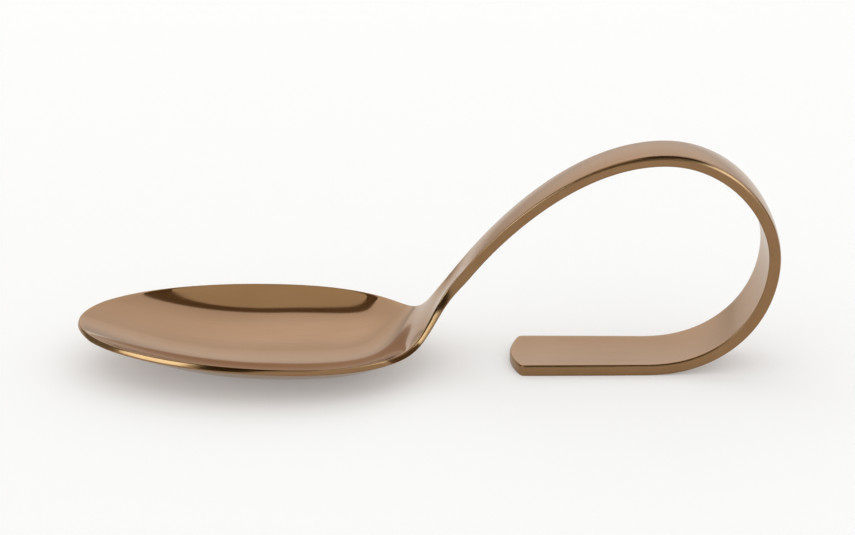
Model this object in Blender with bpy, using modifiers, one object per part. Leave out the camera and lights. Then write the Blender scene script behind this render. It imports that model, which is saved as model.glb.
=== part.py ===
"""Appetizer spoon that stands on its own bowl and on a foot made by its looped handle.

An oval bowl rises through a narrow neck into a flat strip. The strip sweeps up, over and back
underneath as a loop, and ends in a flat foot, so that the spoon holds one bite and stands level.

X runs from the bowl's tip to the back of the loop, Y across the spoon and Z up. The origin lies
on the table, midway along the spoon. The show face is the inside of the bowl and the outside of
the loop, which is one face from the tip to the foot. All sizes of the outline are taken on it.
"""

import math

import bmesh
import bpy
import numpy as np
from mathutils import Vector
from mathutils.geometry import interpolate_bezier

MM = 0.001

# Overall sizes
LENGTH = 124.9 * MM  # bowl tip to the back of the loop
HEIGHT = 40.7 * MM  # table to the crown of the loop

# Bowl, seen from above. Its front is half an ellipse, its back sweeps in to the neck.
BOWL_LENGTH = 66.8 * MM  # tip to the narrowest place of the neck
BOWL_WIDTH = 38.8 * MM
BOWL_WIDEST_AT = 36.8 * MM  # from the tip
SHOULDER_REACH = 23.9 * MM  # how far the full width carries on towards the shoulder
NECK_FLARE = 6.2 * MM  # how far the neck stays narrow before it flares
TIP_ROUND = 3.3 * MM  # length of the tip that is closed by one row of the surface

# Bowl, seen from the side
TIP_HEIGHT = 8.5 * MM  # rim above the table
TIP_SLOPE = 20.7  # degrees, at which the floor drops from the tip
TIP_SWEEP = 9.8 * MM
RIM_FALL = 2.2  # degrees, at which the rim sinks from the tip
RIM_SWEEP = 24.8 * MM
FLOOR_AT = 35.4 * MM  # deepest place, from the tip
FLOOR_SWEEP_FRONT = 15.6 * MM
FLOOR_SWEEP_BACK = 19.7 * MM
SHOULDER_HEIGHT = 6.4 * MM  # lowest place of the rim, in front of the neck
SHOULDER_INSET = 9.4 * MM  # from there to the neck
SHOULDER_SWEEP_FRONT = 3.6 * MM
SHOULDER_SWEEP_BACK = 5.4 * MM
BOWL_FULLNESS = 0.82  # halfway along. 0 is a parabola across the bowl, 1 a half ellipse with upright walls
END_FULLNESS = 0.55  # the same at the tip and at the neck

# Neck
NECK_WIDTH = 6.3 * MM
NECK_HEIGHT = 16.0 * MM
NECK_SLOPE = 52.7  # degrees
NECK_SWEEP_FLOOR = 18.0 * MM
NECK_SWEEP_RIM = 8.4 * MM
NECK_SWEEP_SHANK = 12.5 * MM
NECK_DISH = 0.8 * MM  # by which the middle of the neck lies below its edges
DISH_FADE = 7.0 * MM  # how far up the shank the dish runs out
NECK_GAP = 0.3 * MM  # between the bowl and the handle

# Loop and foot
CROWN_INSET = 20.5 * MM  # crown of the loop, in front of its back
CROWN_SWEEP_FRONT = 16.1 * MM
CROWN_SWEEP_BACK = 11.9 * MM
BACK_HEIGHT = 21.4 * MM  # where the loop is furthest back
BACK_SWEEP_UP = 8.8 * MM
BACK_SWEEP_DOWN = 12.0 * MM
HEEL_INSET = 22.4 * MM  # where the flat foot begins, in front of the loop's back
HEEL_SWEEP = 13.2 * MM
FOOT_REACH = 47.0 * MM  # loop's back to the free end of the foot
FOOT_WIDTH = 13.8 * MM
FOOT_TAPER_REACH = 50.0 * MM  # how far the foot's width carries on up the loop
NECK_TAPER_REACH = 4.8 * MM  # how far the neck's width carries on up the shank
FOOT_END_BULGE = 2.1 * MM  # of the rounded free end
FOOT_CORNER = 0.6 * MM  # corner radius of the free end

# Sheet
BOWL_GAUGE = 0.85 * MM  # of the floor, which is pressed thinner than the rim
RIM_GAUGE = 1.1 * MM
NECK_GAUGE = 1.85 * MM
CROWN_GAUGE = 1.9 * MM
FOOT_GAUGE = 2.1 * MM
THICKENING_PAST_NECK = 3.0 * MM  # the sheet thickens from the shoulder to this far past the neck
EDGE_ROUND = 0.28 * MM  # edge radius all round the sheet

# Surface rows along the spoon and columns across it
BOWL_ROWS = 32
BOWL_COLUMNS = 14
BEND_ROWS = 54  # of the handle from the neck to the heel: the flat of the foot is one row more
CORNER_ROWS = 3  # of the handle at the free end of the foot
HANDLE_ROWS = BEND_ROWS + 1 + CORNER_ROWS
HANDLE_COLUMNS = 6
CURVE_POINTS = 400
ROW_CROWDING = 0.5  # share by which the bowl's rows close up towards the tip and the neck
EDGE_SEGMENTS = 2
SNAP = 1e-6  # two grid places this near are the same

# Finish: steel, polished and coated a warm copper brown
COAT_COLOUR = (0.275, 0.15, 0.07, 1.0)
COAT_ROUGHNESS = 0.12


def tip_x():
    return -LENGTH / 2


def neck_x():
    return tip_x() + BOWL_LENGTH


def sweep(start, start_reach, end, end_reach):
    """Smooth curve from one station to another. A station is a place and a heading in degrees."""
    ends = [Vector(station[:2]) for station in (start, end)]
    headings = [math.radians(station[2]) for station in (start, end)]
    leads = [Vector((math.cos(angle), math.sin(angle))) for angle in headings]
    handles = [ends[0] + leads[0] * start_reach, ends[1] - leads[1] * end_reach]
    points = interpolate_bezier(ends[0], handles[0], handles[1], ends[1], CURVE_POINTS)
    return np.array([point[:] for point in points])


def chain(*curves):
    """Curves that follow each other, as one list of points."""
    return np.vstack([curves[0]] + [curve[1:] for curve in curves[1:]])


def floor_line():
    """Middle of the bowl's inside, from the tip to the neck, as x and height."""
    tip = (tip_x(), TIP_HEIGHT, -TIP_SLOPE)
    deepest = (tip_x() + FLOOR_AT, BOWL_GAUGE, 0)
    neck = (neck_x(), NECK_HEIGHT - NECK_DISH, NECK_SLOPE)
    return chain(
        sweep(tip, TIP_SWEEP, deepest, FLOOR_SWEEP_FRONT),
        sweep(deepest, FLOOR_SWEEP_BACK, neck, NECK_SWEEP_FLOOR),
    )


def rim_line():
    """Edge of the bowl, from the tip to the neck, as x and height."""
    tip = (tip_x(), TIP_HEIGHT, -RIM_FALL)
    shoulder = (neck_x() - SHOULDER_INSET, SHOULDER_HEIGHT, 0)
    neck = (neck_x(), NECK_HEIGHT, NECK_SLOPE)
    return chain(
        sweep(tip, RIM_SWEEP, shoulder, SHOULDER_SWEEP_FRONT),
        sweep(shoulder, SHOULDER_SWEEP_BACK, neck, NECK_SWEEP_RIM),
    )


def bowl_outline():
    """Edge of the bowl from above, as x and half width."""
    along = np.linspace(0, math.pi / 2, CURVE_POINTS)
    front = np.stack(
        [
            tip_x() + BOWL_WIDEST_AT * (1 - np.cos(along)),
            BOWL_WIDTH / 2 * np.sin(along),
        ],
        axis=1,
    )
    widest = (tip_x() + BOWL_WIDEST_AT, BOWL_WIDTH / 2, 0)
    neck = (neck_x(), NECK_WIDTH / 2, 0)
    return chain(front, sweep(widest, SHOULDER_REACH, neck, NECK_FLARE))


def handle_curves():
    """Middle of the handle's show face as x and height: shank, loop over, loop under and foot."""
    back_x = LENGTH / 2
    neck = (neck_x(), NECK_HEIGHT, NECK_SLOPE)
    crown = (back_x - CROWN_INSET, HEIGHT, 0)
    back = (back_x, BACK_HEIGHT, -90)
    heel = (back_x - HEEL_INSET, 0, -180)
    return [
        sweep(neck, NECK_SWEEP_SHANK, crown, CROWN_SWEEP_FRONT),
        sweep(crown, CROWN_SWEEP_BACK, back, BACK_SWEEP_UP),
        sweep(back, BACK_SWEEP_DOWN, heel, HEEL_SWEEP),
        np.array([[back_x - HEEL_INSET, 0], [back_x - FOOT_REACH, 0]]),
    ]


def distances(line):
    """How far along a line each of its points is."""
    return np.r_[0, np.cumsum(np.linalg.norm(np.diff(line, axis=0), axis=1))]


def eased(share):
    """0 to 1 with level ends."""
    share = np.clip(share, 0, 1)
    return share * share * (3 - 2 * share)


def up_wall(along, across):
    """How far up its wall the bowl's section is, from 0 on the floor to 1 at the rim."""
    fullness = END_FULLNESS + (BOWL_FULLNESS - END_FULLNESS) * 4 * along * (1 - along)
    return (1 - np.sqrt(1 - fullness * across**2)) / (1 - np.sqrt(1 - fullness))


def neck_gauge(past_neck):
    """Gauge of the sheet where it thickens from the bowl to the strip."""
    share = (past_neck + SHOULDER_INSET) / (SHOULDER_INSET + THICKENING_PAST_NECK)
    return BOWL_GAUGE + (NECK_GAUGE - BOWL_GAUGE) * eased(share)


def bowl_surface(along, across):
    """Point and gauge of the bowl, along it from 0 to 1 and across it from -1 to 1.

    The rows are arcs that start as the round of the tip and straighten towards the neck.
    """
    floor, rim, outline = floor_line(), rim_line(), bowl_outline()
    end_x = neck_x() - NECK_GAP / 2 * math.cos(math.radians(NECK_SLOPE))
    spread = (1 - ROW_CROWDING) * along + ROW_CROWDING * eased(along)
    floor_x = tip_x() + spread * (end_x - tip_x())
    rim_x = floor_x + TIP_ROUND * (1 - spread)
    floor_z = np.interp(floor_x, *floor.T)
    rim_z = np.interp(rim_x, *rim.T)
    half_width = np.interp(rim_x, *outline.T)
    wall = up_wall(spread, across)
    point = np.stack(
        [
            floor_x + (rim_x - floor_x) * across**2,
            half_width * across,
            floor_z + (rim_z - floor_z) * wall,
        ],
        axis=-1,
    )
    rim_gauge = BOWL_GAUGE + (RIM_GAUGE - BOWL_GAUGE) * across**4
    return point, np.maximum(rim_gauge, neck_gauge(floor_x - neck_x()))


def handle_surface(along, across):
    """Point and gauge of the handle, along it from 0 to 1 and across it from -1 to 1."""
    curves = handle_curves()
    line = chain(*curves)
    distance = distances(line)
    length = distance[-1]
    crown_at, back_at, heel_at = np.cumsum([distances(curve)[-1] for curve in curves])[:3]
    taper = sweep(
        (0, NECK_WIDTH / 2, 0), NECK_TAPER_REACH, (length, FOOT_WIDTH / 2, 0), FOOT_TAPER_REACH
    )
    end_slope = math.atan2(2 * FOOT_END_BULGE, FOOT_WIDTH / 2)
    corner_length = FOOT_CORNER * math.cos(end_slope)
    corner_at = length - corner_length
    row_places = np.r_[
        np.linspace(NECK_GAP / 2, heel_at, BEND_ROWS + 1),
        np.linspace(corner_at, length, CORNER_ROWS + 1),
    ]
    middle = np.interp(along, np.linspace(0, 1, len(row_places)), row_places)
    bulge = FOOT_END_BULGE * np.clip((middle - heel_at) / (corner_at - heel_at), 0, 1)
    place = middle - bulge * across**2
    edge = middle - bulge
    into_corner = np.clip(middle - corner_at, 0, corner_length)
    corner = FOOT_CORNER - np.sqrt(FOOT_CORNER**2 - into_corner**2)
    half_width = np.interp(edge, *taper.T) - corner
    dished = NECK_DISH * (1 - eased(place / DISH_FADE)) * (1 - up_wall(1.0, across))
    point = np.stack(
        [
            np.interp(place, distance, line[:, 0]),
            half_width * across,
            np.interp(place, distance, line[:, 1]) - dished,
        ],
        axis=-1,
    )
    thinning = eased(place / crown_at)
    thickening = eased((place - crown_at) / (back_at - crown_at))
    gauge = neck_gauge(place) + (CROWN_GAUGE - NECK_GAUGE) * thinning
    return point, gauge + (FOOT_GAUGE - CROWN_GAUGE) * thickening


def coated_steel(name):
    material = bpy.data.materials.new(name)
    material.use_nodes = True
    shader = material.node_tree.nodes["Principled BSDF"]
    shader.inputs["Base Color"].default_value = COAT_COLOUR
    shader.inputs["Metallic"].default_value = 1.0
    shader.inputs["Roughness"].default_value = COAT_ROUGHNESS
    return material


def sheet_part(name, surface, rows, columns, cut_at, collection):
    """A grid laid on a surface, given its gauge, with round edges everywhere but at the neck."""
    sheet = bmesh.new()
    bmesh.ops.create_grid(sheet, x_segments=rows, y_segments=columns, size=1)
    rounded = sheet.edges.layers.float.new("bevel_weight_edge")
    for edge in sheet.edges:
        at_neck = all(abs(vertex.co.x - cut_at) < SNAP for vertex in edge.verts)
        edge[rounded] = float(edge.is_boundary and not at_neck)
    flat = np.array([vertex.co for vertex in sheet.verts])
    points, gauges = surface((flat[:, 0] + 1) / 2, flat[:, 1])
    for vertex, point in zip(sheet.verts, points):
        vertex.co = point
    mesh = bpy.data.meshes.new(name)
    sheet.to_mesh(mesh)
    sheet.free()
    mesh.shade_smooth()
    mesh.materials.append(coated_steel(f"{name} coated steel"))
    part = bpy.data.objects.new(name, mesh)
    collection.objects.link(part)

    thickest = max(RIM_GAUGE, NECK_GAUGE, CROWN_GAUGE, FOOT_GAUGE)
    gauge_group = part.vertex_groups.new(name="gauge")
    for index, gauge in enumerate(np.broadcast_to(gauges, len(points))):
        gauge_group.add([index], gauge / thickest, "REPLACE")
    solidify = part.modifiers.new("gauge", "SOLIDIFY")
    solidify.thickness = thickest
    solidify.offset = -1
    solidify.vertex_group = gauge_group.name
    bevel = part.modifiers.new("edge round", "BEVEL")
    bevel.limit_method = "WEIGHT"
    bevel.width = EDGE_ROUND
    bevel.segments = EDGE_SEGMENTS
    return part


def main():
    for old in list(bpy.data.objects):
        bpy.data.objects.remove(old)
    spoon = bpy.data.collections.new("appetizer_spoon")
    bpy.context.scene.collection.children.link(spoon)
    sheet_part("bowl", bowl_surface, BOWL_ROWS, BOWL_COLUMNS, 1, spoon)
    sheet_part("handle", handle_surface, HANDLE_ROWS, HANDLE_COLUMNS, -1, spoon)


main()
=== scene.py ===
import math

import bmesh
import bpy
import numpy as np
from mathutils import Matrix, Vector
from mathutils.geometry import interpolate_bezier


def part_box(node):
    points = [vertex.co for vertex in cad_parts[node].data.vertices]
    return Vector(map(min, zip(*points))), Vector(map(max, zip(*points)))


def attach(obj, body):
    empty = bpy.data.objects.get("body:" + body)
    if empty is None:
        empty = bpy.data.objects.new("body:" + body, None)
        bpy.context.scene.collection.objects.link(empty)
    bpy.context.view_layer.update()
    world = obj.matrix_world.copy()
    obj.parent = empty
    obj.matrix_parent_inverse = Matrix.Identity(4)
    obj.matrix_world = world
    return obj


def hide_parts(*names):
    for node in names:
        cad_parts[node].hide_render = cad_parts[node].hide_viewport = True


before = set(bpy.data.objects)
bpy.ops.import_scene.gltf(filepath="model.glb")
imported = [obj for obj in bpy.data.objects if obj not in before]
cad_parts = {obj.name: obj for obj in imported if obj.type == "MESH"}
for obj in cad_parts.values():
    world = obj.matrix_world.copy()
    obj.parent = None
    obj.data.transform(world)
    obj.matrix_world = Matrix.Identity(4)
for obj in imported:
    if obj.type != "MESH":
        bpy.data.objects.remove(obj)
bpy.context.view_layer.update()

MM = 0.001

# Overall sizes, from the frame
LOOP_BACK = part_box("handle")[1].x
CROWN_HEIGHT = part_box("handle")[1].z
TIP_X = -LOOP_BACK

# Bowl, seen from above. Its front is half an ellipse, its back sweeps in to the neck.
BOWL_LENGTH = 66.8 * MM
BOWL_WIDTH = 38.8 * MM
BOWL_WIDEST_AT = 36.8 * MM
SHOULDER_REACH = 23.9 * MM
NECK_FLARE = 6.2 * MM
TIP_ROUND = 3.3 * MM

# Bowl, seen from the side. Slopes are in degrees.
TIP_HEIGHT = 8.5 * MM
TIP_SLOPE = 20.7
TIP_SWEEP = 9.8 * MM
RIM_FALL = 2.2
RIM_SWEEP = 24.8 * MM
FLOOR_AT = 35.4 * MM
FLOOR_SWEEP_FRONT = 15.6 * MM
FLOOR_SWEEP_BACK = 19.7 * MM
SHOULDER_HEIGHT = 6.4 * MM
SHOULDER_INSET = 9.4 * MM
SHOULDER_SWEEP_FRONT = 3.6 * MM
SHOULDER_SWEEP_BACK = 5.4 * MM
BOWL_FULLNESS = 0.82
END_FULLNESS = 0.55

# Neck
NECK_X = TIP_X + BOWL_LENGTH
NECK_WIDTH = 6.3 * MM
NECK_HEIGHT = 16.0 * MM
NECK_SLOPE = 52.7
NECK_SWEEP_FLOOR = 18.0 * MM
NECK_SWEEP_RIM = 8.4 * MM
NECK_SWEEP_SHANK = 12.5 * MM
NECK_DISH = 0.8 * MM
DISH_FADE = 7.0 * MM

# Loop and foot
CROWN_INSET = 20.5 * MM
CROWN_SWEEP_FRONT = 16.1 * MM
CROWN_SWEEP_BACK = 11.9 * MM
BACK_HEIGHT = 21.4 * MM
BACK_SWEEP_UP = 8.8 * MM
BACK_SWEEP_DOWN = 12.0 * MM
HEEL_INSET = 22.4 * MM
HEEL_SWEEP = 13.2 * MM
FOOT_REACH = 47.2 * MM
FOOT_WIDTH = 13.8 * MM
FOOT_TAPER_REACH = 50.0 * MM
NECK_TAPER_REACH = 4.8 * MM
FOOT_END_BULGE = 1.75 * MM
FOOT_CORNER = 0.9 * MM

# Sheet. It is pressed thinner on the bowl's floor than at the rim, and its gauge grows by a power of the
# way from the middle to the rim.
BOWL_GAUGE = 0.85 * MM
RIM_GAUGE = 1.1 * MM
RIM_GROWTH = 4
NECK_GAUGE = 1.85 * MM
CROWN_GAUGE = 1.9 * MM
FOOT_GAUGE = 2.1 * MM
THICKENING_PAST_NECK = 3.0 * MM

# Edge rounds. The strip's outer edges are softest on the way up to the crown and crisp after it, and the
# foot's upper edges are a little softer. They grow over a stretch past the neck, and change again over a
# third of the bend, which runs from the neck to the heel. Where that starts is a share of the bend.
RIM_ROUND = 0.26 * MM
UNDER_RIM_ROUND = 0.18 * MM
SOFT_ROUND = 0.9 * MM
CRISP_ROUND = 0.22 * MM
FOOT_ROUND = 0.5 * MM
ROUNDING_START = 23.0 * MM
ROUNDING_END = 44.0 * MM
CRISP_FROM = 0.45
FOOT_FROM = 2 / 3
ROUND_CHANGE = 1 / 3

# How upright the rim's wall stands at places along the bowl: 0 is square to the sheet, 1 is upright, and
# below 0 it leans the other way. The power keeps the lean to the rim.
UPRIGHT_PLACES = np.array([0, 25.7, 45, 52, 58, 61, 66, 74]) * MM
UPRIGHT_SHARES = np.array([0, 0.4, 0.85, 0.6, 0, -0.18, -0.18, 0])
UPRIGHT_GROWTH = 8

# Section of the strip: its outer face is crowned on the loop, and the foot's upper face is a little hollow
CROWNING = 0.35 * MM
CROWNING_START = 14.0 * MM
FOOT_HOLLOW = 0.25 * MM

# Cage of the skin, before it is subdivided
BOWL_ROWS = 40
BEND_ROWS = 52
FOOT_ROWS = 14
COLUMNS = 14
COLUMN_PULL = 0.6
CURVE_POINTS = 400
ROUND_SEGMENTS = 3
SMOOTHING = 2

# Camera, at the photograph's viewing angle
SENSOR = 36.0
LENS = 90.53
CAMERA_ELEVATION = 22.0
CAMERA_DISTANCE = 383.93 * MM
CAMERA_TARGET = Vector((0.31 * MM, 0.0, 18.2 * MM))

# Finish: its colours, then the sizes of its patterns, how strong they are, and how rough each area is
COAT_DARK = "#9A795C"
COAT_LIGHT = "#A7866A"
HAIR_COLOUR = "#87674A"
# The sides' two browns are darker than the coat: painted shade, mottled at random
SHADED_SIDE_DARK = "#6F4E2C"
SHADED_SIDE_LIGHT = "#886642"
RUBBED_COLOUR = "#B69469"
GRAZING_TINT = "#FEFAF4"
CLOUD_SIZE = 14.0 * MM
BLOTCH_SIZE = 4.0 * MM
HAIR_LENGTH = 9.0 * MM
HAIR_WIDTH = 0.22 * MM
HAIR_DEPTH = 0.0003 * MM
WAVE_SIZE = 9.0 * MM
WAVE_HEIGHT = 0.008 * MM
HAIR_FROM = 0.5
HAIR_FULL = 0.75
HAIR_SHARE = 0.2
# Share of the painted shade on the sides
SIDE_SHADE_SHARE = 0.8
RUBBED_SHARE = 0.25
MIRROR_ROUGHNESS = 0.06
SATIN_ROUGHNESS = 0.21
SATIN_START = NECK_X - 6.0 * MM
SATIN_END = NECK_X + 8.0 * MM
SIDE_ROUGHENING = 0.22
HAIR_ROUGHENING = 0.06
EDGE_BUFFING = -0.16
EDGE_NARROWING = 4.0
GLOSS_WEIGHT = 0.15
GLOSS_ROUGHNESS = 0.03

# Sockets of a Mix node that mixes colours
FIRST, SECOND, MIXED = 6, 7, 2

# Floor, of which a share is plain white to the eye, so that the shadow on it stays light
WHITE = "#FFFFFF"
FLOOR_SIZE = 3.0
FLOOR_COLOUR = "#FBFBFA"
FLOOR_WHITE = 0.22

# Studio lights that stand and face the spoon's middle: azimuth, elevation and distance, width and height,
# then the glow at the edge and in the middle, the share of the size over which it fades, and its colour
SPOON_MIDDLE = Vector((0.0, 0.0, 15.0 * MM))
BACK_LIGHTS = {
    "backdrop_light": ((0, 30, 1.6), (4.0, 1.43), (0.7, 1.13, 0.35, WHITE)),
    "back_light": ((-14, 50, 0.7), (0.7, 0.5), (1.04, 1.28, 0.4, WHITE)),
}
SIDE_LIGHTS = {
    "left_light": ((-128, 29, 1.2), (0.72, 0.38), (3.9, 4.4, 0.06, "#EAFBFF")),
    "right_light": ((134.5, 37.2, 1.2), (1.28, 0.63), (3.3, 3.8, 0.06, "#EAFBFF")),
}

# The light that hangs level above the bowl
TOP_LIGHT_PLACE = Vector((-56.5, 4.5, 255)) * MM
TOP_LIGHT_SIZE = (169 * MM, 109 * MM)
TOP_LIGHT_GLOW = (0.64, 0.78, 0.04, "#FFF6DC")
TOP_LIGHT_CORNER = 40.0 * MM

# Flags, the dark cards that give polished metal its lines. Those that hang level have their lowest and
# highest x and y and their height in millimetres, those that stand have place and size as the lights do.
FLAG_COLOURS = {"black": "#45351F", "brown": "#78664C", "grey": "#A9A7A1"}
FLAG_CORNER = 30.0 * MM
HANGING_FLAGS = {
    "top_flag": ((-146, -300), (45, 91), 258, "brown"),
    "crown_flag": ((15, -250), (130, 75), 160, "black"),
}
FRONT_FLAG_PLACE = (-0.065, -0.48, 0.245)
FRONT_FLAG_SIZE = (0.43, 0.38)
STANDING_FLAGS = {
    "left_flag": ((-81, 26, 1.0), (1.04, 1.05), "grey"),
    "right_flag": ((90.5, 14, 1.0), (0.56, 0.6), "brown"),
    "high_flag": ((-130, 46, 1.0), (0.77, 0.32), "black"),
}
CORNER_SEGMENTS = 12


def srgb(code):
    """Linear colour of an sRGB hex value."""
    parts = [int(code[i : i + 2], 16) / 255 for i in (1, 3, 5)]
    return (*[c / 12.92 if c <= 0.04045 else ((c + 0.055) / 1.055) ** 2.4 for c in parts], 1.0)


def add_node(tree, kind, inputs, **settings):
    """Adds a node. An input is given a value, or the output that is linked to it."""
    made = tree.nodes.new(kind)
    for name, value in settings.items():
        setattr(made, name, value)
    for name, value in inputs.items():
        if isinstance(value, bpy.types.NodeSocket):
            tree.links.new(value, made.inputs[name])
        else:
            made.inputs[name].default_value = value
    return made


def sweep(start, start_reach, end, end_reach):
    """Smooth curve from one station to another. A station is a place and a heading in degrees."""
    ends = [Vector(station[:2]) for station in (start, end)]
    headings = [math.radians(station[2]) for station in (start, end)]
    leads = [Vector((math.cos(angle), math.sin(angle))) for angle in headings]
    handles = [ends[0] + leads[0] * start_reach, ends[1] - leads[1] * end_reach]
    points = interpolate_bezier(ends[0], handles[0], handles[1], ends[1], CURVE_POINTS)
    return np.array([point[:] for point in points])


def chain(*curves):
    """Curves that follow each other, as one list of points."""
    return np.vstack([curves[0]] + [curve[1:] for curve in curves[1:]])


def distances(line):
    """How far along a line each of its points is."""
    return np.r_[0, np.cumsum(np.linalg.norm(np.diff(line, axis=0), axis=1))]


def eased(share):
    """0 to 1 with level ends."""
    share = np.clip(share, 0, 1)
    return share * share * (3 - 2 * share)


def up_wall(along, across):
    """How far up its wall the bowl's section is, from 0 on the floor to 1 at the rim."""
    fullness = END_FULLNESS + (BOWL_FULLNESS - END_FULLNESS) * 4 * along * (1 - along)
    return (1 - np.sqrt(1 - fullness * across**2)) / (1 - np.sqrt(1 - fullness))


def neck_gauge(past_neck):
    """Gauge of the sheet where it thickens from the bowl to the strip."""
    share = (past_neck + SHOULDER_INSET) / (SHOULDER_INSET + THICKENING_PAST_NECK)
    return BOWL_GAUGE + (NECK_GAUGE - BOWL_GAUGE) * eased(share)


def lay_bowl(along, across):
    """Points and gauge of the bowl's inside, from the tip to the neck."""
    tip = (TIP_X, TIP_HEIGHT)
    neck = (NECK_X, NECK_HEIGHT, NECK_SLOPE)
    dished_neck = (NECK_X, NECK_HEIGHT - NECK_DISH, NECK_SLOPE)
    deepest = (TIP_X + FLOOR_AT, BOWL_GAUGE, 0)
    shoulder = (NECK_X - SHOULDER_INSET, SHOULDER_HEIGHT, 0)
    widest = (TIP_X + BOWL_WIDEST_AT, BOWL_WIDTH / 2, 0)
    floor = chain(
        sweep((*tip, -TIP_SLOPE), TIP_SWEEP, deepest, FLOOR_SWEEP_FRONT),
        sweep(deepest, FLOOR_SWEEP_BACK, dished_neck, NECK_SWEEP_FLOOR),
    )
    rim = chain(
        sweep((*tip, -RIM_FALL), RIM_SWEEP, shoulder, SHOULDER_SWEEP_FRONT),
        sweep(shoulder, SHOULDER_SWEEP_BACK, neck, NECK_SWEEP_RIM),
    )
    turn = np.linspace(0, math.pi / 2, CURVE_POINTS)
    front = [TIP_X + BOWL_WIDEST_AT * (1 - np.cos(turn)), BOWL_WIDTH / 2 * np.sin(turn)]
    outline = chain(
        np.stack(front, axis=1), sweep(widest, SHOULDER_REACH, (NECK_X, NECK_WIDTH / 2, 0), NECK_FLARE)
    )
    spread = (along + eased(along)) / 2
    floor_x = TIP_X + spread * BOWL_LENGTH
    rim_x = floor_x + TIP_ROUND * (1 - spread)
    floor_z = np.interp(floor_x, *floor.T)
    rim_z = np.interp(rim_x, *rim.T)
    half_width = np.interp(rim_x, *outline.T)
    points = np.stack(
        [
            floor_x + (rim_x - floor_x) * across**2,
            half_width * across,
            floor_z + (rim_z - floor_z) * up_wall(spread, across),
        ],
        axis=-1,
    )
    rim_gauge = BOWL_GAUGE + (RIM_GAUGE - BOWL_GAUGE) * across**RIM_GROWTH
    return points, np.maximum(rim_gauge, neck_gauge(floor_x - NECK_X))


def lay_handle(along, across):
    """Points and gauge of the handle's outside, from the neck round the loop to the end of the foot."""
    neck = (NECK_X, NECK_HEIGHT, NECK_SLOPE)
    crown = (LOOP_BACK - CROWN_INSET, CROWN_HEIGHT, 0)
    back = (LOOP_BACK, BACK_HEIGHT, -90)
    heel = (LOOP_BACK - HEEL_INSET, 0, -180)
    curves = [
        sweep(neck, NECK_SWEEP_SHANK, crown, CROWN_SWEEP_FRONT),
        sweep(crown, CROWN_SWEEP_BACK, back, BACK_SWEEP_UP),
        sweep(back, BACK_SWEEP_DOWN, heel, HEEL_SWEEP),
        np.array([[heel[0], 0], [LOOP_BACK - FOOT_REACH, 0]]),
    ]
    line = chain(*curves)
    distance = distances(line)
    length = distance[-1]
    crown_at, back_at, heel_at = np.cumsum([distances(curve)[-1] for curve in curves])[:3]
    taper = sweep(
        (0, NECK_WIDTH / 2, 0), NECK_TAPER_REACH, (length, FOOT_WIDTH / 2, 0), FOOT_TAPER_REACH
    )
    row_places = np.r_[
        np.linspace(0, heel_at, BEND_ROWS + 1)[:-1], np.linspace(heel_at, length, FOOT_ROWS + 1)
    ]
    middle = np.interp(along, np.linspace(0, 1, len(row_places)), row_places)
    bulge = FOOT_END_BULGE * np.clip((middle - heel_at) / (length - heel_at), 0, 1)
    place = middle - bulge * across**2
    half_width = np.interp(middle - bulge, *taper.T)
    heading = np.unwrap(np.arctan2(*np.gradient(line, axis=0).T[::-1]))
    slope = np.interp(place, distance, heading)
    on_foot = eased((place - back_at) / (heel_at - back_at))
    on_loop = eased(place / CROWNING_START) * (1 - on_foot)
    dome = 1 - across**2
    raised = CROWNING * on_loop * dome
    dished = NECK_DISH * (1 - eased(place / DISH_FADE)) * (1 - up_wall(1.0, across))
    points = np.stack(
        [
            np.interp(place, distance, line[:, 0]) - raised * np.sin(slope),
            half_width * across,
            np.interp(place, distance, line[:, 1]) + raised * np.cos(slope) - dished,
        ],
        axis=-1,
    )
    gauge = neck_gauge(place) + (CROWN_GAUGE - NECK_GAUGE) * eased(place / crown_at)
    gauge += (FOOT_GAUGE - CROWN_GAUGE) * eased((place - crown_at) / (back_at - crown_at))
    gauge += raised - FOOT_HOLLOW * on_foot * dome
    return points, gauge


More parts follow.
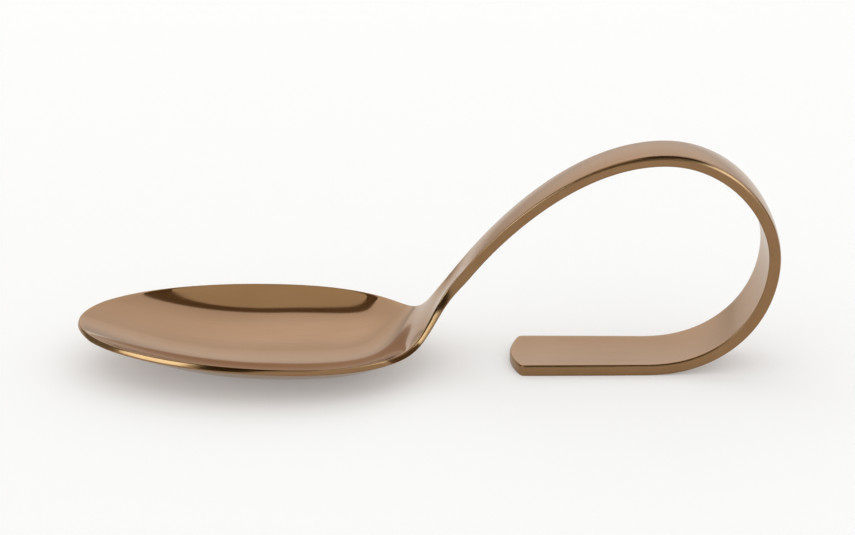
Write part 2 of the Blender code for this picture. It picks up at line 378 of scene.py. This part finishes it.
def coated_steel():
    """Stainless steel with a vapour coating, mirror buffed in the bowl and satin buffed on the handle.

    The eye sees a brown mirror with a thin clear gloss, which goes softer on the handle. It has fine
    buffing hairs along the strip, duller sheared sides painted a darker brown as painted shade, and
    edges that are buffed smoother and rubbed a little lighter.
    """
    material = bpy.data.materials.new("vapour coated stainless steel, buffed")
    material.use_nodes = True
    tree = material.node_tree
    shader = tree.nodes["Principled BSDF"]
    place = add_node(tree, "ShaderNodeTexCoord", {}).outputs["Object"]
    strip = add_node(tree, "ShaderNodeUVMap", {}, uv_map="strip").outputs["UV"]
    rubbed = add_node(tree, "ShaderNodeAttribute", {}, attribute_name="rubbed").outputs["Fac"]
    sheared_and_shaded = add_node(tree, "ShaderNodeAttribute", {}, attribute_name="sheared_and_shaded").outputs["Fac"]

    # Slow changes in the coating's thickness, which shift its colour a little
    cloud = add_node(
        tree, "ShaderNodeTexNoise", {"Vector": place, "Scale": 1 / CLOUD_SIZE, "Detail": 2.0}
    ).outputs["Fac"]
    coat = add_node(
        tree,
        "ShaderNodeMix",
        {"Factor": cloud, FIRST: srgb(COAT_DARK), SECOND: srgb(COAT_LIGHT)},
        data_type="RGBA",
    ).outputs[MIXED]

    # Buffing hairs: real ones are 0.02 to 0.05 mm wide, drawn coarser here so that they show
    stretched = add_node(
        tree, "ShaderNodeMapping", {"Vector": strip, "Scale": (MM / HAIR_LENGTH, MM / HAIR_WIDTH, 1.0)}
    ).outputs[0]
    hairs = add_node(
        tree, "ShaderNodeTexNoise", {"Vector": stretched, "Scale": 1.0, "Detail": 3.0}
    ).outputs["Fac"]
    hair_share = add_node(
        tree,
        "ShaderNodeMapRange",
        {"Value": hairs, "From Min": HAIR_FROM, "From Max": HAIR_FULL, "To Max": HAIR_SHARE},
    ).outputs[0]
    streaked = add_node(
        tree,
        "ShaderNodeMix",
        {"Factor": hair_share, FIRST: coat, SECOND: srgb(HAIR_COLOUR)},
        data_type="RGBA",
    ).outputs[MIXED]

    # Sides are painted a darker brown as painted shade, mottled at random, and rubbed edges show a
    # lighter, yellower steel
    side_shade_share = add_node(
        tree, "ShaderNodeMath", {0: sheared_and_shaded, 1: SIDE_SHADE_SHARE}, operation="MULTIPLY"
    ).outputs[0]
    blotch = add_node(
        tree, "ShaderNodeTexNoise", {"Vector": place, "Scale": 1 / BLOTCH_SIZE, "Detail": 3.0}
    ).outputs["Fac"]
    shaded_side_colour = add_node(
        tree,
        "ShaderNodeMix",
        {"Factor": blotch, FIRST: srgb(SHADED_SIDE_DARK), SECOND: srgb(SHADED_SIDE_LIGHT)},
        data_type="RGBA",
    ).outputs[MIXED]
    side_shaded = add_node(
        tree,
        "ShaderNodeMix",
        {"Factor": side_shade_share, FIRST: streaked, SECOND: shaded_side_colour},
        data_type="RGBA",
    ).outputs[MIXED]
    rubbed_hairs = add_node(
        tree, "ShaderNodeMath", {0: rubbed, 1: hairs}, operation="MULTIPLY"
    ).outputs[0]
    rubbed_share = add_node(
        tree, "ShaderNodeMath", {0: rubbed_hairs, 1: RUBBED_SHARE}, operation="MULTIPLY"
    ).outputs[0]
    colour = add_node(
        tree,
        "ShaderNodeMix",
        {"Factor": rubbed_share, FIRST: side_shaded, SECOND: srgb(RUBBED_COLOUR)},
        data_type="RGBA",
    ).outputs[MIXED]

    # Mirror in the bowl, satin past the neck, dullest on the sheared sides and smoother along the edges
    along = add_node(tree, "ShaderNodeSeparateXYZ", {"Vector": place}).outputs["X"]
    satin = add_node(
        tree,
        "ShaderNodeMapRange",
        {
            "Value": along,
            "From Min": SATIN_START,
            "From Max": SATIN_END,
            "To Min": MIRROR_ROUGHNESS,
            "To Max": SATIN_ROUGHNESS,
        },
        interpolation_type="SMOOTHSTEP",
    ).outputs[0]
    duller = add_node(
        tree, "ShaderNodeMath", {0: sheared_and_shaded, 1: SIDE_ROUGHENING, 2: satin}, operation="MULTIPLY_ADD"
    ).outputs[0]
    edge_share = add_node(
        tree, "ShaderNodeMath", {0: rubbed, 1: EDGE_NARROWING}, operation="POWER"
    ).outputs[0]
    buffed = add_node(
        tree, "ShaderNodeMath", {0: edge_share, 1: EDGE_BUFFING, 2: duller}, operation="MULTIPLY_ADD"
    ).outputs[0]
    roughness = add_node(
        tree, "ShaderNodeMath", {0: hairs, 1: HAIR_ROUGHENING, 2: buffed}, operation="MULTIPLY_ADD"
    ).outputs[0]

    # The buffing wheel leaves the face faintly wavy, and the hairs are shallow grooves in it
    wave = add_node(
        tree, "ShaderNodeTexNoise", {"Vector": place, "Scale": 1 / WAVE_SIZE, "Detail": 1.0}
    ).outputs["Fac"]
    wavy = add_node(
        tree, "ShaderNodeBump", {"Height": wave, "Strength": 1.0, "Distance": WAVE_HEIGHT}
    ).outputs[0]
    grooved = add_node(
        tree, "ShaderNodeBump", {"Height": hairs, "Strength": 1.0, "Distance": HAIR_DEPTH, "Normal": wavy}
    ).outputs[0]

    tree.links.new(colour, shader.inputs["Base Color"])
    tree.links.new(roughness, shader.inputs["Roughness"])
    tree.links.new(grooved, shader.inputs["Normal"])
    shader.inputs["Metallic"].default_value = 1.0
    shader.inputs["Specular Tint"].default_value = srgb(GRAZING_TINT)
    shader.inputs["Coat Weight"].default_value = GLOSS_WEIGHT
    shader.inputs["Coat Roughness"].default_value = GLOSS_ROUGHNESS
    return material


def make_spoon():
    """One unbroken skin from the tip of the bowl to the end of the foot."""
    handle_rows = BEND_ROWS + FOOT_ROWS
    rows = BOWL_ROWS + handle_rows
    skin = bmesh.new()
    bmesh.ops.create_grid(skin, x_segments=rows, y_segments=COLUMNS, size=1)
    number = skin.verts.layers.int.new("number")
    rubbed = skin.verts.layers.float.new("rubbed")
    weight = skin.edges.layers.float.new("bevel_weight_edge")
    sheared_and_shaded = skin.loops.layers.float.new("sheared_and_shaded")
    strip = skin.loops.layers.uv.new("strip")

    # A flat grid is laid out as the sheet's show face: the bowl's inside and the handle's outside
    for index, vertex in enumerate(skin.verts):
        vertex[number] = index
    flat = np.array([vertex.co for vertex in skin.verts])
    row = np.round((flat[:, 0] + 1) / 2 * rows)
    pull = COLUMN_PULL * eased(row / BOWL_ROWS)
    across = flat[:, 1] * (1 - pull * (1 - flat[:, 1] ** 2))
    bowl, bowl_gauge = lay_bowl(np.clip(row / BOWL_ROWS, 0, 1), across)
    handle, handle_gauge = lay_handle(np.clip((row - BOWL_ROWS) / handle_rows, 0, 1), across)
    in_bowl = row < BOWL_ROWS
    points = np.where(in_bowl[:, None], bowl, handle)
    gauges = np.where(in_bowl, bowl_gauge, handle_gauge)
    for vertex, point in zip(skin.verts, points):
        vertex.co = point

    # How far along the sheet each point is, and how round the edges are there
    at_middle = np.isclose(flat[:, 1], 0, atol=1 / COLUMNS)
    spine = points[at_middle][np.argsort(row[at_middle])]
    travel = distances(spine)[row.astype(int)]
    past_neck = travel - travel[row == BOWL_ROWS][0]
    round_bend = (row - BOWL_ROWS) / BEND_ROWS
    on_strip = eased((past_neck - ROUNDING_START) / (ROUNDING_END - ROUNDING_START))
    on_foot = eased((round_bend - FOOT_FROM) / ROUND_CHANGE)
    past_crown = eased((round_bend - CRISP_FROM) / ROUND_CHANGE)
    show_round = RIM_ROUND + (SOFT_ROUND - RIM_ROUND) * on_strip
    show_round += (CRISP_ROUND - SOFT_ROUND) * past_crown
    back_round = UNDER_RIM_ROUND + (CRISP_ROUND - UNDER_RIM_ROUND) * on_strip
    back_round += (FOOT_ROUND - CRISP_ROUND) * on_foot
    at_corner = (row == rows) & np.isclose(np.abs(flat[:, 1]), 1, atol=1 / COLUMNS)

    # The sheet gets its thickness, with a wall that leans along the bowl's rim
    skin.normal_update()
    upright = np.interp(points[:, 0] - TIP_X, UPRIGHT_PLACES, UPRIGHT_SHARES)
    upright *= np.abs(flat[:, 1]) ** UPRIGHT_GROWTH
    normals = [
        vertex.normal.lerp(Vector((0, 0, 1)), share).normalized()
        for vertex, share in zip(skin.verts, upright)
    ]
    show_faces = set(skin.faces)
    grown = bmesh.ops.extrude_face_region(skin, geom=skin.faces[:])["geom"]
    back_verts = {part for part in grown if isinstance(part, bmesh.types.BMVert)}
    back_faces = {part for part in grown if isinstance(part, bmesh.types.BMFace)}
    for vertex in back_verts:
        vertex.co -= normals[vertex[number]] * gauges[vertex[number]]
    sides = [face for face in skin.faces if face not in show_faces and face not in back_faces]
    bmesh.ops.recalc_face_normals(skin, faces=skin.faces[:])

    # The sides are marked for the edge rounds and for the finish with its painted shade, and the strip is
    # unrolled for the hairs
    for side in sides:
        for edge in side.edges:
            ends = [vertex[number] for vertex in edge.verts]
            at_back = sum(vertex in back_verts for vertex in edge.verts)
            if at_back == 1:
                rounding = FOOT_CORNER if at_corner[ends[0]] else 0.0
            else:
                rounding = np.mean((back_round if at_back else show_round)[ends])
            edge[weight] = rounding / SOFT_ROUND
        for loop in side.loops:
            loop[sheared_and_shaded] = 1.0
            loop.vert[rubbed] = 1.0
    for face in skin.faces:
        for loop in face.loops:
            index = loop.vert[number]
            loop[strip].uv = (travel[index] / MM, points[index][1] / MM)
    for side in sides:
        for loop in side.loops:
            if loop.vert in back_verts:
                index = loop.vert[number]
                loop[strip].uv.y += math.copysign(gauges[index] / MM, points[index][1])

    mesh = bpy.data.meshes.new("spoon")
    skin.to_mesh(mesh)
    skin.free()
    mesh.shade_smooth()
    mesh.materials.append(coated_steel())
    spoon = bpy.data.objects.new("spoon", mesh)
    bpy.context.scene.collection.objects.link(spoon)
    bevel = spoon.modifiers.new("edge round", "BEVEL")
    bevel.limit_method = "WEIGHT"
    bevel.width = SOFT_ROUND
    bevel.segments = ROUND_SEGMENTS
    bevel.use_clamp_overlap = False
    smooth = spoon.modifiers.new("smooth skin", "SUBSURF")
    smooth.levels = smooth.render_levels = SMOOTHING
    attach(spoon, "root")
    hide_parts("bowl", "handle")


def make_camera():
    """The photograph's view, from straight beside the spoon and a little above it."""
    lens = bpy.data.cameras.new("camera")
    lens.sensor_width = SENSOR
    lens.lens = LENS
    camera = bpy.data.objects.new("camera", lens)
    bpy.context.scene.collection.objects.link(camera)
    tilt = math.radians(CAMERA_ELEVATION)
    camera.location = CAMERA_TARGET + CAMERA_DISTANCE * Vector((0, -math.cos(tilt), math.sin(tilt)))
    camera.rotation_euler = (math.pi / 2 - tilt, 0, 0)
    bpy.context.scene.camera = camera


def background_rays(tree):
    """1 for the rays that show the background, straight or in metal and glass, and 0 for the others."""
    ray = add_node(tree, "ShaderNodeLightPath", {})
    seen = ray.outputs["Is Camera Ray"]
    for kind in ("Is Glossy Ray", "Is Transmission Ray"):
        seen = add_node(
            tree, "ShaderNodeMath", {0: seen, 1: ray.outputs[kind]}, operation="MAXIMUM"
        ).outputs[0]
    return seen


def make_floor():
    """Plain white floor, which takes the spoon's shadow."""
    shape = bmesh.new()
    bmesh.ops.create_grid(shape, x_segments=1, y_segments=1, size=FLOOR_SIZE)
    mesh = bpy.data.meshes.new("floor")
    shape.to_mesh(mesh)
    shape.free()
    material = bpy.data.materials.new("matt white board")
    material.use_nodes = True
    tree = material.node_tree
    shader = tree.nodes["Principled BSDF"]
    shader.inputs["Base Color"].default_value = srgb(FLOOR_COLOUR)
    shader.inputs["Roughness"].default_value = 1.0
    shader.inputs["Specular IOR Level"].default_value = 0.0
    white = add_node(tree, "ShaderNodeEmission", {"Strength": 1.0})
    share = add_node(
        tree, "ShaderNodeMath", {0: background_rays(tree), 1: FLOOR_WHITE}, operation="MULTIPLY"
    )
    mixed = add_node(
        tree, "ShaderNodeMixShader", {0: share.outputs[0], 1: shader.outputs[0], 2: white.outputs[0]}
    )
    tree.links.new(mixed.outputs[0], tree.nodes["Material Output"].inputs["Surface"])
    mesh.materials.append(material)
    floor = bpy.data.objects.new("floor", mesh)
    bpy.context.scene.collection.objects.link(floor)


def make_card(name, centre, size, material, facing=SPOON_MIDDLE, corner=0.0):
    """A card of the studio. The spoon reflects it, and no camera sees it."""
    shape = bmesh.new()
    bmesh.ops.create_grid(shape, x_segments=1, y_segments=1, size=0.5)
    bmesh.ops.scale(shape, vec=(*size, 1), verts=shape.verts)
    if corner:
        bmesh.ops.bevel(
            shape,
            geom=shape.verts[:],
            offset=corner,
            offset_type="OFFSET",
            affect="VERTICES",
            segments=CORNER_SEGMENTS,
            profile=0.5,
            material=-1,
        )
    mesh = bpy.data.meshes.new(name)
    shape.to_mesh(mesh)
    shape.free()
    mesh.materials.append(material)
    card = bpy.data.objects.new(name, mesh)
    bpy.context.scene.collection.objects.link(card)
    card.location = centre
    card.rotation_euler = (facing - Vector(centre)).to_track_quat("Z", "Y").to_euler()
    card.visible_camera = False
    return card


def around(azimuth, elevation, distance):
    """A place seen from the spoon at an azimuth, clockwise from straight behind it, and an elevation."""
    turn, rise = math.radians(azimuth), math.radians(elevation)
    level = Vector((math.sin(turn), math.cos(turn), 0)) * math.cos(rise)
    return distance * (level + Vector((0, 0, math.sin(rise))))


def glow(light_name, edge, middle, softness, colour):
    """The face of a soft light, which fades to its edges over a share of its size."""
    material = bpy.data.materials.new(light_name.replace("_", " "))
    material.use_nodes = True
    tree = material.node_tree
    tree.nodes.clear()
    place = add_node(tree, "ShaderNodeTexCoord", {})
    axes = add_node(tree, "ShaderNodeSeparateXYZ", {"Vector": place.outputs["Generated"]})
    fades = []
    for axis in "XY":
        inwards = add_node(tree, "ShaderNodeMath", {0: axes.outputs[axis], 1: 0.5}, operation="PINGPONG")
        fade = add_node(
            tree,
            "ShaderNodeMapRange",
            {"Value": inwards.outputs[0], "From Max": softness},
            interpolation_type="SMOOTHSTEP",
        )
        fades.append(fade.outputs[0])
    both = add_node(tree, "ShaderNodeMath", {0: fades[0], 1: fades[1]}, operation="MULTIPLY")
    level = add_node(
        tree, "ShaderNodeMapRange", {"Value": both.outputs[0], "To Min": edge, "To Max": middle}
    )
    light = add_node(tree, "ShaderNodeEmission", {"Color": srgb(colour), "Strength": level.outputs[0]})
    add_node(tree, "ShaderNodeOutputMaterial", {"Surface": light.outputs[0]})
    return material


def flag_cloth(name, colour):
    """The matt cloth of a flag."""
    material = bpy.data.materials.new(f"{name} flag")
    material.use_nodes = True
    shader = material.node_tree.nodes["Principled BSDF"]
    shader.inputs["Base Color"].default_value = srgb(colour)
    shader.inputs["Specular IOR Level"].default_value = 0.0
    return material


def make_studio():
    """Soft lights and dark flags, which the spoon reflects. The flags cast no shadow."""
    cloths = {name: flag_cloth(name, colour) for name, colour in FLAG_COLOURS.items()}
    down = Vector((0, 0, -1))
    for name, (place, size, light) in BACK_LIGHTS.items():
        make_card(name, around(*place), size, glow(name, *light))
    flags = []
    for name, (low, high, height, cloth) in HANGING_FLAGS.items():
        centre = Vector(((low[0] + high[0]) / 2, (low[1] + high[1]) / 2, height)) * MM
        size = Vector((high[0] - low[0], high[1] - low[1])) * MM
        flags.append(make_card(name, centre, size, cloths[cloth], centre + down, FLAG_CORNER))
    flags.append(make_card("front_flag", FRONT_FLAG_PLACE, FRONT_FLAG_SIZE, cloths["black"]))
    for name, (place, size, cloth) in STANDING_FLAGS.items():
        flags.append(make_card(name, around(*place), size, cloths[cloth]))
    for flag in flags:
        flag.visible_diffuse = False
        flag.visible_shadow = False
    make_card(
        "top_light",
        TOP_LIGHT_PLACE,
        TOP_LIGHT_SIZE,
        glow("top_light", *TOP_LIGHT_GLOW),
        TOP_LIGHT_PLACE + down,
        TOP_LIGHT_CORNER,
    )
    for name, (place, size, light) in SIDE_LIGHTS.items():
        side_light = make_card(name, around(*place), size, glow(name, *light))
        side_light.visible_diffuse = False


def make_world():
    """White all round."""
    world = bpy.data.worlds.new("studio")
    bpy.context.scene.world = world
    world.use_nodes = True
    world.node_tree.nodes["Background"].inputs["Color"].default_value = srgb(WHITE)


make_camera()
make_spoon()
make_floor()
make_studio()
make_world()
bpy.context.scene.view_settings.view_transform = "Standard"
